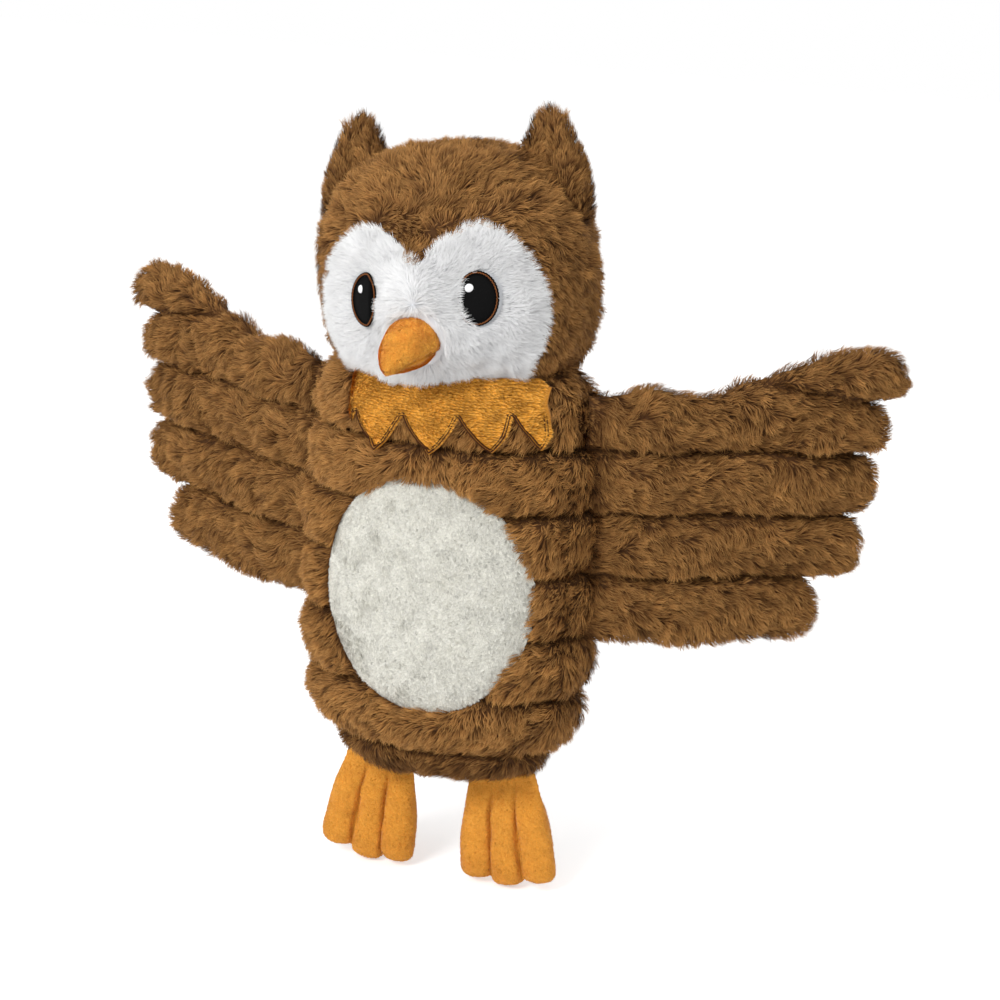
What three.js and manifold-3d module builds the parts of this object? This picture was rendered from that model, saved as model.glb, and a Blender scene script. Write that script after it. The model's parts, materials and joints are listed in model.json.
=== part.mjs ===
// Plush owl: a stuffed head on a channelled torso, two channelled wings and two three-toed feet.
// Millimetres, +Z up. The owl faces -Y and its left side is +X. Covers are as thick as their
// fabric and pile together, and each is sewn to its neighbour with seamGap between the solids.
import * as THREE from 'three';
import { mergeVertices } from 'three/addons/utils/BufferGeometryUtils.js';
import Module from 'manifold-3d';

const wasm = await Module();
wasm.setup();

// Sewing
const seamGap = 0.35;
const pileCover = 5;
const shortCover = 2;
const overrun = 80;

// Torso bag. Its heights are measured from its middle.
const neckHeight = 72;
const torsoCrownRise = 10;
const torsoBottom = 86;
const torsoWaist = 10;
const chestHalfWidth = 55;
const hipHalfWidth = 57;
const torsoHalfDepth = 33;
const firstSeamHeight = 49.5;
const hemHeight = 17.5;
const torsoPuff = 5;
const channels = 5;

// Belly patch, an oval let into the front
const patchHalfWidth = 39.5;
const patchHalfHeight = 44.5;
const patchDrop = 7;
const patchCrown = 3;

// Collar with five points, lying on the chest
const collarThickness = 1.6;
const collarRadius = 45;
const collarBand = 11;
const collarPoint = 13.5;
const collarPoints = 5;
const collarPointAngle = 28;

// Head. Its places are measured from its own middle.
const headRise = 32;
const headHalfWidth = 51.5;
const headHalfDepth = 39;
const headHalfHeight = 49;
const muzzleReach = 11;
const muzzleHalfWidth = 25;
const muzzleHalfHeight = 26;
const muzzleDrop = 15;
const headNod = 8;
const headLean = 7;

// Face panel, its outline seen from the front
const faceHalfWidth = 40;
const faceTop = 17.5;
const faceNotch = 4.5;
const faceCheek = 10;
const faceBottom = 43;

// Embroidered eyes
const eyeSpread = 20.2;
const eyeDrop = 6.5;
const eyeHalfWidth = 6.9;
const eyeHalfHeight = 9.3;
const eyeRim = 1;
const eyeHeight = 0.9;
const eyePocket = 1;
const glintRadius = 1.6;
const glintShift = 3;
const glintRise = 3.9;

// Beak
const beakHalfWidth = 11.5;
const beakHalfHeight = 11.5;
const beakReach = 14;
const beakSink = 16;
const beakDrop = 19.5;
const beakDroop = 9.5;
const beakAside = 4;

// Ear tufts
const earSpread = 36;
const earRise = 31;
const earHalfWidth = 15.5;
const earHalfDepth = 13;
const earHalfHeight = 27;

// Wings. Reaches are measured out from the side seam, which they swing about.
const wingSeamClearance = 1;
const wingSeamBack = 1;
const wingSweep = 28;
const wingDrop = 1;
const wingHalfThickness = 11;
const wingRootHalfThickness = 0.6;
const wingRootTaper = 24;
const wingRootTuck = 22;
const wingSeamOverlap = 1.5;
const wingEdge = 0.7;
const wingClearings = [0, -15, -30, -45, -60, -75];
const wingReach = 102;
const firstFeatherHalfHeight = 11.2;
const featherSteps = [0, 2, 6, 21];
const topFeatherReach = 109;
const topFeatherRoot = 14;
const topFeatherBends = [25, 95];
const topFeatherHalfHeight = 9.4;
const topFeatherLap = 2;

// Feet. Lengths are measured down from the hem, which they swing about.
const footSpread = 25;
const footLength = 41;
const footSplay = 6;
const toeHalfWidth = 6;
const toeSeamOverlap = 1.6;
const toeEdge = 0.45;
const footHalfThickness = 6.5;
const footRootHalfThickness = 0.7;
const footRootTaper = 16;
const footRootTuck = 5;
const toes = 3;

// Shares of the sizes above, and squareness of the rounded forms
const shoulderSquareShare = 5;
const hipSquareShare = 3;
const headSquareShare = 2.4;
const channelSquareShare = 5;
const puffShare = 0.7;
const earTaperShare = 0.3;
const beakTaperShare = 0.55;
const toeFanShare = 1.42;
const middleToeShare = 1.06;
const pointBulgeShare = 0.125;
const faceShares = { slope: 0.2, rise: 0.3, lobe: 0.47, brow: 0.8, jaw: 0.72, chin: 0.42 };

const rad = THREE.MathUtils.degToRad;
const torsoCrown = neckHeight + torsoCrownRise;
const wingSeamOut = hipHalfWidth + wingSeamClearance;
const channelPitch = (firstSeamHeight + torsoBottom - hemHeight) / channels;
const seamHeights = Array.from({ length: channels + 1 }, (_, k) => firstSeamHeight - k * channelPitch);

// Colours, as rough as plush is
const finish = (color, roughness = 0.9) => new THREE.MeshStandardMaterial({ color, roughness, metalness: 0 });
const brown = 0x7d5c3c;
const white = 0xf2f2f2;
const cream = 0xdedcd4;
const orange = 0xde9632;
const black = 0x16120f;
const rimBrown = 0x5a3418;
const fibre = 0xf6f4ee;

// A closed geometry as a solid that can be joined and cut
function solid(geometry) {
  const bare = geometry.clone();
  bare.deleteAttribute('normal');
  bare.deleteAttribute('uv');
  const merged = mergeVertices(bare);
  return new wasm.Manifold(new wasm.Mesh({
    numProp: 3,
    vertProperties: Float32Array.from(merged.attributes.position.array),
    triVerts: Uint32Array.from(merged.index.array),
  }));
}

function geometryOf(form) {
  const mesh = form.getMesh();
  const geometry = new THREE.BufferGeometry();
  geometry.setAttribute('position', new THREE.BufferAttribute(Float32Array.from(mesh.vertProperties), 3));
  geometry.setIndex(Array.from(mesh.triVerts));
  geometry.computeVertexNormals();
  return geometry;
}

// The same form on the other side: X is reversed, and so is the order of each face's corners
function mirrored(geometry) {
  const other = geometry.clone().scale(-1, 1, 1);
  const corners = Array.from(other.index.array);
  for (let i = 0; i < corners.length; i += 3) {
    [corners[i], corners[i + 1]] = [corners[i + 1], corners[i]];
  }
  other.setIndex(corners);
  other.computeVertexNormals();
  return other;
}

// A form joined with its own mirror image, because a ball's facets aren't alike on both sides
function bothWays(form) {
  return form.add(solid(mirrored(geometryOf(form))));
}

// A ball whose unit points are moved by place(point), with its poles on Z
function moulded(around, along, place) {
  const ball = new THREE.SphereGeometry(1, around, along).rotateX(Math.PI / 2);
  const spots = ball.attributes.position;
  const point = new THREE.Vector3();
  for (let i = 0; i < spots.count; i += 1) {
    place(point.fromBufferAttribute(spots, i));
    spots.setXYZ(i, point.x, point.y, point.z);
  }
  return solid(ball);
}

// How far out a rounded form is at a share of its way to its end, 1 in the middle and 0 at the end
function roundness(share, square) {
  return Math.max(0, 1 - Math.abs(share) ** square) ** (1 / square);
}

function smooth(share) {
  const t = THREE.MathUtils.clamp(share, 0, 1);
  return t * t * (3 - 2 * t);
}

function block(x, y, z, geometryMatrix = new THREE.Matrix4()) {
  const box = new THREE.BoxGeometry(x[1] - x[0], y[1] - y[0], z[1] - z[0]);
  box.translate((x[0] + x[1]) / 2, (y[0] + y[1]) / 2, (z[0] + z[1]) / 2);
  return solid(box.applyMatrix4(geometryMatrix));
}

// An outline in X and Z, cut through from the middle to the front
function frontPrism(outline, segments) {
  const prism = new THREE.ExtrudeGeometry(outline, {
    depth: overrun, bevelEnabled: false, curveSegments: segments,
  });
  return solid(prism.rotateX(Math.PI / 2));
}

function oval(x, z, halfWidth, halfHeight) {
  return new THREE.Shape().absellipse(x, z, halfWidth, halfHeight, 0, 2 * Math.PI);
}

const everywhere = [-4 * overrun, 4 * overrun];
const above = (level, matrix) => block(everywhere, everywhere, [level, level + 4 * overrun], matrix);
const inFront = (level) => block(everywhere, [level - 4 * overrun, level], everywhere);
const behind = (level) => block(everywhere, [level, level + 4 * overrun], everywhere);

// The torso bag, grown by a distance. With puff its channels swell between the sewn seams, and
// both fade out at the side seams.
function torsoForm(grow, puff, around, rows) {
  const levels = [torsoCrown + grow, ...seamHeights, -torsoBottom - grow];
  return moulded(around, rows * (levels.length - 1), (p) => {
    const down = (Math.acos(THREE.MathUtils.clamp(p.z, -1, 1)) / Math.PI) * (levels.length - 1);
    const channel = Math.min(Math.floor(down + 1e-6), levels.length - 2);
    const share = down - channel;
    const z = levels[channel] + (levels[channel + 1] - levels[channel]) * share;
    const out = Math.hypot(p.x, p.y) || 1;
    const [ux, uy] = [p.x / out, p.y / out];
    const offMiddle = z + torsoWaist;
    const width = THREE.MathUtils.mapLinear(z, firstSeamHeight, -torsoBottom, chestHalfWidth, hipHalfWidth);
    const closing = offMiddle > 0
      ? roundness(offMiddle / (torsoCrown + torsoWaist + grow), shoulderSquareShare)
      : roundness(offMiddle / (torsoBottom - torsoWaist + grow), hipSquareShare);
    const swell = puff * Math.abs(uy) * Math.sin(Math.PI * Math.max(0, share)) ** puffShare;
    p.set(
      ux * (width + grow + swell) * closing,
      uy * (torsoHalfDepth + grow + swell) * closing,
      z,
    );
  });
}

const neckCut = above(neckHeight);
const torsoBag = torsoForm(0, torsoPuff, 24, 4);
const torsoInside = torsoForm(-pileCover, 0, 16, 1);
const torsoCover = torsoBag.subtract(torsoInside).subtract(neckCut);
const torsoFilling = torsoForm(-pileCover - seamGap, 0, 16, 1).subtract(neckCut);
const patchHole = frontPrism(oval(0, -patchDrop, patchHalfWidth + seamGap, patchHalfHeight + seamGap), 8);
const patchOutline = frontPrism(oval(0, -patchDrop, patchHalfWidth, patchHalfHeight), 8);
const torsoFront = torsoCover.intersect(inFront(-seamGap / 2)).subtract(patchHole);
const torsoBack = torsoCover.intersect(behind(seamGap / 2));
const bellyPatch = torsoForm(patchCrown, 0, 24, 2).subtract(torsoInside).intersect(patchOutline);

// The collar's lower edge runs from point to point, with a notch between each two
function collarOutline() {
  const outline = new THREE.Shape();
  const across = (steps) => collarRadius * Math.sin(rad(steps * collarPointAngle));
  const notchLevel = neckHeight - collarBand;
  const tipLevel = notchLevel - collarPoint;
  const bulgeLevel = (notchLevel + tipLevel) / 2;
  const first = -collarPoints / 2;
  outline.moveTo(across(first), neckHeight + overrun);
  outline.lineTo(across(first), notchLevel);
  for (let k = first; k < collarPoints / 2; k += 1) {
    outline.quadraticCurveTo(across(k + pointBulgeShare), bulgeLevel, across(k + 1 / 2), tipLevel);
    outline.quadraticCurveTo(across(k + 1 - pointBulgeShare), bulgeLevel, across(k + 1), notchLevel);
  }
  outline.lineTo(across(-first), neckHeight + overrun);
  outline.closePath();
  return outline;
}

const collar = torsoForm(collarThickness + seamGap, torsoPuff, 24, 4)
  .subtract(torsoForm(seamGap, torsoPuff, 24, 4))
  .intersect(frontPrism(collarOutline(), 4))
  .subtract(neckCut);

// The head's frame stands on the neck, nodding back and leaning to one side, and the neck's
// level plane is brought into it to cut the head flat
const headTurn = new THREE.Euler(rad(-headNod), rad(-headLean), 0, 'XYZ');
const headFrame = new THREE.Matrix4().makeRotationFromEuler(headTurn).setPosition(0, 0, neckHeight);
const intoHead = headFrame.clone().invert();

// The head swells forward into a soft muzzle about the beak
function headForm(grow, around, along) {
  return moulded(around, along, (p) => {
    const reach = (Math.abs(p.x) ** headSquareShare + Math.abs(p.y) ** headSquareShare
      + Math.abs(p.z) ** headSquareShare) ** (1 / headSquareShare);
    const x = (p.x / reach) * (headHalfWidth + grow);
    const y = (p.y / reach) * (headHalfDepth + grow);
    const z = (p.z / reach) * (headHalfHeight + grow);
    const fade = Math.exp(-((x / muzzleHalfWidth) ** 2) - ((z + muzzleDrop) / muzzleHalfHeight) ** 2);
    const muzzle = muzzleReach * fade * smooth(-y / headHalfDepth);
    p.set(x, y - muzzle, headRise + z);
  });
}

// Heart-like face outline: two lobes over the eyes with the hood's point between them
function faceOutline(grow) {
  const [w, low, notch] = [faceHalfWidth + grow, headRise - faceBottom - grow, headRise + faceNotch + grow];
  const [top, cheek] = [headRise + faceTop + grow, headRise - faceCheek];
  const outline = new THREE.Shape();
  const { slope, rise, lobe, brow, jaw, chin } = faceShares;
  outline.moveTo(0, notch);
  outline.bezierCurveTo(w * slope, (notch + top) / 2, w * rise, top, w * lobe, top);
  outline.bezierCurveTo(w * brow, top, w, headRise, w, cheek);
  outline.bezierCurveTo(w, (cheek + low) / 2, w * jaw, low, w * chin, low);
  outline.lineTo(-w * chin, low);
  outline.bezierCurveTo(-w * jaw, low, -w, (cheek + low) / 2, -w, cheek);
  outline.bezierCurveTo(-w, headRise, -w * brow, top, -w * lobe, top);
  outline.bezierCurveTo(-w * rise, top, -w * slope, (notch + top) / 2, 0, notch);
  return outline;
}

const neckLevel = neckHeight + seamGap;
const belowNeck = block(everywhere, everywhere, [neckLevel - 4 * overrun, neckLevel], intoHead);
const headBall = headForm(0, 22, 16);
const headInside = headForm(-pileCover, 14, 10);
const headGrown = headForm(seamGap, 22, 16);
const headShell = headBall.subtract(headInside).subtract(belowNeck);
const hood = headShell.subtract(frontPrism(faceOutline(seamGap), 5));
const headFilling = headForm(-pileCover - seamGap, 14, 10).subtract(belowNeck);

// Each eye is a satin-stitched oval in a rim, sunk a little into the face and curved with it
const eyeShell = headForm(eyeHeight, 22, 16).subtract(headForm(-eyePocket, 22, 16));
const sideEye = (side, halfWidth, halfHeight) => frontPrism(
  oval(side * eyeSpread, headRise - eyeDrop, halfWidth, halfHeight), 5,
);
const eyeParts = [1, -1].map((side) => {
  const rim = sideEye(side, eyeHalfWidth, eyeHalfHeight);
  const within = sideEye(side, eyeHalfWidth - eyeRim, eyeHalfHeight - eyeRim);
  const pupil = sideEye(side, eyeHalfWidth - eyeRim - seamGap, eyeHalfHeight - eyeRim - seamGap);
  const glintAt = (grow) => frontPrism(oval(
    side * eyeSpread - glintShift,
    headRise - eyeDrop + glintRise,
    glintRadius + grow,
    glintRadius + grow,
  ), 3);
  return {
    pocket: sideEye(side, eyeHalfWidth + seamGap, eyeHalfHeight + seamGap),
    rim: rim.subtract(within).intersect(eyeShell),
    pupil: pupil.subtract(glintAt(seamGap)).intersect(eyeShell),
    glint: glintAt(0).intersect(eyeShell),
  };
});
const pocketDepth = headForm(-eyePocket - seamGap, 22, 16);
const face = headShell
  .intersect(frontPrism(faceOutline(0), 5))
  .subtract(eyeParts[0].pocket.subtract(pocketDepth))
  .subtract(eyeParts[1].pocket.subtract(pocketDepth));

// The beak is a blunt cone that droops, cut to sit on the face
function beakForm(grow, around, along) {
  return moulded(around, along, (p) => {
    const share = (1 + p.z) / 2;
    const taper = 1 - beakTaperShare * share;
    const [wide, tall] = [beakHalfWidth * taper + grow, beakHalfHeight * taper + grow];
    p.set(
      p.x * wide - beakAside * share,
      -headHalfDepth - muzzleReach + beakSink - share * (beakReach + beakSink + grow),
      headRise - beakDrop + p.y * tall - beakDroop * share * share,
    );
  });
}

const beak = beakForm(0, 12, 10).subtract(beakForm(-shortCover, 8, 6)).subtract(headGrown);
const beakFilling = beakForm(-shortCover - seamGap, 8, 6).subtract(headGrown);

// An ear tuft narrows upward and is cut to sit on the hood
const ear = moulded(12, 10, (p) => {
  const taper = 1 - earTaperShare * p.z;
  p.set(
    earSpread + p.x * earHalfWidth * taper,
    p.y * earHalfDepth * taper,
    headRise + earRise + p.z * earHalfHeight,
  );
}).subtract(bothWays(headGrown));

// One stuffed channel of a wing along X, from the root to its reach, rising by lift(x) on the way
// Inside forms are thinner by inset, and short of the outer edge by edge.
function feather(root, reach, middle, halfHeight, lift, inset, edge, around, along) {
  const [centre, half] = [(root + reach) / 2, (reach - root) / 2 - edge];
  return moulded(around, along, (p) => {
    const x = centre + half * p.z;
    const out = Math.hypot(p.x, p.y) || 1;
    const end = roundness(p.z, channelSquareShare);
    const full = THREE.MathUtils.lerp(wingRootHalfThickness, wingHalfThickness, smooth(x / wingRootTaper));
    const thick = Math.max(full - inset, wingRootHalfThickness / 3) * end;
    p.set(x, (p.y / out) * thick, middle + lift(x) - (p.x / out) * (halfHeight - edge) * end);
  });
}

const featherHalfHeight = channelPitch / 2 + wingSeamOverlap;
const firstWingSeam = firstSeamHeight - wingDrop;
const firstFeatherMiddle = firstWingSeam + firstFeatherHalfHeight - wingSeamOverlap;
const topFeatherLift = topFeatherHalfHeight + firstFeatherHalfHeight - topFeatherLap;

// The wing's four long channels and the short one that leaves the first of them and rises
function wingForm(inset, edge, around, along) {
  const [bend, level] = topFeatherBends;
  const rise = (x) => topFeatherLift * smooth((x - bend) / (level - bend));
  const straight = () => 0;
  const top = topFeatherHalfHeight;
  let wing = feather(
    topFeatherRoot, topFeatherReach, firstFeatherMiddle, top, rise, inset, edge, around, along,
  );
  featherSteps.forEach((step, k) => {
    const middle = k === 0 ? firstFeatherMiddle : firstWingSeam + channelPitch * (1 / 2 - k);
    const half = k === 0 ? firstFeatherHalfHeight : featherHalfHeight;
    wing = wing.add(feather(
      -wingRootTuck, wingReach - step, middle, half, straight, inset, edge, around, along,
    ));
  });
  return wing;
}

// The torso, grown by the seam's gap, cuts the root of the swept wing as it is and swung forward
const wingFrameAt = (swing) => new THREE.Matrix4().makeRotationZ(rad(wingSweep + swing))
  .setPosition(wingSeamOut, wingSeamBack, 0);
const wingFrame = wingFrameAt(0);
const torsoGrown = bothWays(torsoForm(seamGap, torsoPuff, 24, 4));
const torsoInWing = wingClearings
  .map((swing) => solid(geometryOf(torsoGrown).applyMatrix4(wingFrameAt(swing).invert())))
  .reduce((all, one) => all.add(one));
const wingCover = wingForm(0, 0, 10, 8).subtract(torsoInWing).subtract(wingForm(pileCover, wingEdge, 6, 7));
const wingFilling = wingForm(pileCover + seamGap, wingEdge + seamGap, 6, 7).subtract(torsoInWing);
const wingFront = wingCover.intersect(inFront(-seamGap / 2));
const wingBack = wingCover.intersect(behind(seamGap / 2));

// A foot is three toes side by side that fan out downward
const toePitch = 2 * (toeHalfWidth - toeSeamOverlap);
function footForm(inset, edge, around, along) {
  let foot = null;
  for (let k = 0; k < toes; k += 1) {
    const aside = k - (toes - 1) / 2;
    const length = footLength * (aside === 0 ? middleToeShare : 1);
    const [centre, half] = [(footRootTuck - length) / 2, (footRootTuck + length) / 2 - edge];
    const toe = moulded(around, along, (p) => {
      const z = centre + half * p.z;
      const out = Math.hypot(p.x, p.y) || 1;
      const down = THREE.MathUtils.clamp(-z / footLength, 0, 1);
      const end = roundness(p.z, channelSquareShare);
      const fan = THREE.MathUtils.lerp(1, toeFanShare, down);
      const full = smooth(-z / footRootTaper);
      const thick = THREE.MathUtils.lerp(footRootHalfThickness, footHalfThickness, full);
      p.set(
        aside * toePitch * fan + (p.x / out) * (toeHalfWidth * fan - edge) * end,
        (p.y / out) * Math.max(thick - inset, footRootHalfThickness / 3) * end,
        z,
      );
    });
    foot = foot ? foot.add(toe) : toe;
  }
  return foot;
}

const footFrame = new THREE.Matrix4().makeRotationY(rad(-footSplay)).setPosition(footSpread, 0, -torsoBottom);
const torsoInFoot = solid(geometryOf(torsoGrown).applyMatrix4(footFrame.clone().invert()));
const footCover = footForm(0, 0, 8, 8).subtract(torsoInFoot).subtract(footForm(shortCover, toeEdge, 6, 6));
const footFilling = footForm(shortCover + seamGap, toeEdge + seamGap, 6, 6).subtract(torsoInFoot);
const footFront = footCover.intersect(inFront(-seamGap / 2));
const footBack = footCover.intersect(behind(seamGap / 2));

// The origin is where a hand holds the back, halfway down its channels
const holdHeight = (seamHeights[0] + seamHeights[channels]) / 2;
const owl = new THREE.Group();
owl.position.set(0, -torsoHalfDepth - torsoPuff, -holdHeight);

function add(parent, name, geometry, material) {
  const mesh = new THREE.Mesh(geometry, material);
  mesh.name = name;
  parent.add(mesh);
}

function frameGroup(matrix) {
  const group = new THREE.Group();
  group.applyMatrix4(matrix);
  owl.add(group);
  return group;
}

add(owl, 'torso_front', geometryOf(torsoFront), finish(brown));
add(owl, 'torso_back', geometryOf(torsoBack), finish(brown));
add(owl, 'torso_filling', geometryOf(torsoFilling), finish(fibre));
add(owl, 'belly_patch', geometryOf(bellyPatch), finish(cream));
add(owl, 'collar', geometryOf(collar), finish(orange));

const head = frameGroup(headFrame);
add(head, 'head_hood', geometryOf(hood), finish(brown));
add(head, 'face_panel', geometryOf(face), finish(white));
add(head, 'head_filling', geometryOf(headFilling), finish(fibre));
add(head, 'beak', geometryOf(beak), finish(orange));
add(head, 'beak_filling', geometryOf(beakFilling), finish(fibre));
['left', 'right'].forEach((hand, i) => {
  add(head, `eye_${hand}`, geometryOf(eyeParts[i].pupil), finish(black, 0.6));
  add(head, `eye_rim_${hand}`, geometryOf(eyeParts[i].rim), finish(rimBrown, 0.7));
  add(head, `eye_glint_${hand}`, geometryOf(eyeParts[i].glint), finish(white, 0.6));
});

// Mirrored frames carry mirrored pieces
function mirroredFrame(matrix) {
  const flip = new THREE.Matrix4().makeScale(-1, 1, 1);
  return flip.clone().multiply(matrix).multiply(flip);
}

[['left', (g) => g, (m) => m], ['right', mirrored, mirroredFrame]].forEach(([hand, form, frame]) => {
  add(head, `ear_${hand}`, form(geometryOf(ear)), finish(brown));
  const wing = frameGroup(frame(wingFrame));
  add(wing, `wing_front_${hand}`, form(geometryOf(wingFront)), finish(brown));
  add(wing, `wing_back_${hand}`, form(geometryOf(wingBack)), finish(brown));
  add(wing, `wing_filling_${hand}`, form(geometryOf(wingFilling)), finish(fibre));
  const foot = frameGroup(frame(footFrame));
  add(foot, `foot_front_${hand}`, form(geometryOf(footFront)), finish(orange));
  add(foot, `foot_back_${hand}`, form(geometryOf(footBack)), finish(orange));
  add(foot, `foot_filling_${hand}`, form(geometryOf(footFilling)), finish(fibre));
});

export default owl;
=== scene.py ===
"""A plush owl with long brown pile, channelled wings and torso, a white face and orange feet."""
import json
import math

import bpy
import numpy as np
from mathutils import Matrix, Vector
from mathutils.kdtree import KDTree


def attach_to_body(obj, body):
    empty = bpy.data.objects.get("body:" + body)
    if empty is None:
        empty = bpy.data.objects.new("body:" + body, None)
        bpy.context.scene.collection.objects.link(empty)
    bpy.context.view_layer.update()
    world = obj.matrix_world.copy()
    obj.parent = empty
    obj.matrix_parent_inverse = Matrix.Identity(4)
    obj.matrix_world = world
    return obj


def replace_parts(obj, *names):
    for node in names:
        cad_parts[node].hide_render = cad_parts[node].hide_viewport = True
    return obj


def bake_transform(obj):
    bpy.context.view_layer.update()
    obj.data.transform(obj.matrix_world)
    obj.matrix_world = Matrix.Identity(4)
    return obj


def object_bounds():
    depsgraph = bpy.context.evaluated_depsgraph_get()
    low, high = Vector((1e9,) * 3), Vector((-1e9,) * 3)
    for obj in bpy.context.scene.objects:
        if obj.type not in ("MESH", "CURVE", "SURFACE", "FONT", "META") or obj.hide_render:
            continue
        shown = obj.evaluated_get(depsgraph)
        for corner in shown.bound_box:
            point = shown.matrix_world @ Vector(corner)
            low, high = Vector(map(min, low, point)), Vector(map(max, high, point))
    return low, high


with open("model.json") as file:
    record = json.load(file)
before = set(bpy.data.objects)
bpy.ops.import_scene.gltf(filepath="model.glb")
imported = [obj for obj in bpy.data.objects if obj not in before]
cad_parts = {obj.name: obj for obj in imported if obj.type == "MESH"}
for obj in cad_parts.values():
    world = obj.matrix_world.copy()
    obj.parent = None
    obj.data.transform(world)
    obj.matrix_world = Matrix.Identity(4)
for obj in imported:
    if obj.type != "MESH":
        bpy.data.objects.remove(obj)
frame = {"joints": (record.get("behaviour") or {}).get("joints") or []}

cad_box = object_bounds()

# Sizes in millimetres, as in the part. Heights of the torso are measured from its middle.
MM = 0.001
NECK_HEIGHT = 72.0
TORSO_CROWN = NECK_HEIGHT + 10.0
TORSO_BOTTOM = 86.0
TORSO_WAIST = 10.0
CHEST_HALF_WIDTH = 55.0
HIP_HALF_WIDTH = 57.0
TORSO_HALF_DEPTH = 33.0
FIRST_SEAM = 49.5
HEM_HEIGHT = 17.5
TORSO_PUFF = 5.0
CHANNELS = 5
CHANNEL_PITCH = (FIRST_SEAM + TORSO_BOTTOM - HEM_HEIGHT) / CHANNELS
SEAMS = [FIRST_SEAM - k * CHANNEL_PITCH for k in range(CHANNELS + 1)]

PATCH_HALF_WIDTH = 39.5
PATCH_HALF_HEIGHT = 44.5
PATCH_DROP = 7.0
PATCH_CROWN = 2.8
PATCH_SINK = 1.8

COLLAR_RADIUS = 45.0
COLLAR_BAND = 11.0
COLLAR_POINT = 13.5
COLLAR_POINTS = 5
COLLAR_POINT_ANGLE = math.radians(28)
COLLAR_TILT = 0.09
COLLAR_ASIDE = 2.5
COLLAR_HIDDEN = -28.0
COLLAR_TUCK = 9.0
COLLAR_TAPER = 0.1
COLLAR_SLOPE = 3.0
# How far the cloth's two faces and its stitching stand off the chest
COLLAR_FACE_LIFT = 1.4
COLLAR_BACK_LIFT = -0.2
STITCHING_LIFT = 1.75
STITCHING_RADIUS = 0.26
STITCHING_INSETS = 0.7, 1.5

HEAD_RISE = 32.0
HEAD_HALF = np.array([51.5, 39.0, 49.0])
MUZZLE_REACH = 11.0
MUZZLE_HALF_WIDTH = 25.0
MUZZLE_HALF_HEIGHT = 26.0
MUZZLE_DROP = 15.0
HEAD_NOD = math.radians(8)
HEAD_LEAN = math.radians(7)
HEAD_SQUARE = 2.4

FACE_HALF_WIDTH = 40.0
FACE_TOP = 17.5
FACE_NOTCH = 4.5
FACE_CHEEK = 10.0
FACE_BOTTOM = 43.0

EYE_SPREAD = 20.2
EYE_DROP = 6.5
EYE_HALF_WIDTH = 6.9
EYE_HALF_HEIGHT = 9.3
EYE_RIM = 1.0
EYE_SINK = 3.0
EYE_HOLLOW = 2.2
EYE_TUCK = 2.0
EYE_OVERGROWN = {"left": 0.96, "right": 0.5}
EYE_CROWN = 1.3
EYE_RIM_CORD = 0.62
EYE_LINE_CORD = 0.24
EYE_LINE_LIFT = 0.5
GLINT_RADIUS = 1.6
GLINT_SHIFT = 2.1
GLINT_RISE = 3.6
GLINT_CROWN = 0.75

BEAK_HALF_WIDTH = 11.5
BEAK_HALF_HEIGHT = 11.5
BEAK_REACH = 14.0
BEAK_SINK = 16.0
BEAK_DROP = 19.5
BEAK_DROOP = 9.5
BEAK_ASIDE = 4.0
BEAK_TAPER = 0.55

EAR_SPREAD = 36.0
EAR_RISE = 31.0
EAR_HALF = (15.5, 13.0, 27.0)
EAR_TAPER = 0.3
EAR_FOLD = 3.0

WING_SEAM_OUT = 58.0
WING_SEAM_BACK = 1.0
WING_SWEEP = math.radians(28)
WING_DROP = 1.0
WING_HALF_THICKNESS = 11.0
WING_ROOT_TUCK = 22.0
SKIN_ROOT_HALF_THICKNESS = 4.0
SKIN_ROOT_TUCK = 9.0
SKIN_ROOT_TAPER = 15.0
WING_SEAM_OVERLAP = 1.5
WING_REACH = 102.0
FEATHER_STEPS = [0.0, 2.0, 6.0, 21.0]
TOP_FEATHER_REACH = 109.0
TOP_FEATHER_ROOT = 14.0
TOP_FEATHER_BENDS = (25.0, 95.0)
TOP_FEATHER_HALF_HEIGHT = 9.4
TOP_FEATHER_LAP = 2.0
TOP_SEAM = (50.0, 102.0)
FIRST_FEATHER_HALF_HEIGHT = 11.2
FIRST_WING_SEAM = FIRST_SEAM - WING_DROP

FOOT_SPREAD = 25.0
FOOT_LENGTH = 41.0
FOOT_SPLAY = math.radians(6)
TOE_HALF_WIDTH = 6.0
TOE_SEAM_OVERLAP = 1.6
FOOT_HALF_THICKNESS = 6.5
FOOT_ROOT_HALF_THICKNESS = 0.7
FOOT_ROOT_TAPER = 16.0
FOOT_ROOT_TUCK = 5.0
TOE_FAN = 1.42
MIDDLE_TOE = 1.06
TOE_PITCH = 2 * (TOE_HALF_WIDTH - TOE_SEAM_OVERLAP)

# Pile: how far its skin lies inside the outer form, and how its strands grow
PILE_DEPTH = 2.6
PILE_LENGTH = 5.6
FACE_PILE_LENGTH = 4.0
NAP_DEPTH = 0.5
NAP_LENGTH = 0.8
STRAND_WIDTH = 0.26
FUR_MAP = "OFBake"
SHADES = 24

# The cells in which overlapping forms are joined into one skin
WING_VOXEL = 1.1
TOE_VOXEL = 0.55

# Camera, in degrees, millimetres and the photograph's pixels, and the light of the room
VIEW_AZIMUTH = 18.0
VIEW_ELEVATION = 17.0
VIEW_ROLL = 3.0
VIEW_DISTANCE = 800.0
VIEW_FOCUS_PIXELS = 2170.0
VIEW_ASIDE = 17.0
VIEW_RISE = 22.0
IMAGE_PIXELS = 1000.0
SENSOR = 36.0
ROOM_LIGHT = 0.62

# Floor and lamps, in metres
FLOOR_HALF = 3.0
FLOOR_GAP = 0.001
FLOOR_GLOW = 0.45
LAMP_AIM = Vector((0, 0, 0.02))

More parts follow.
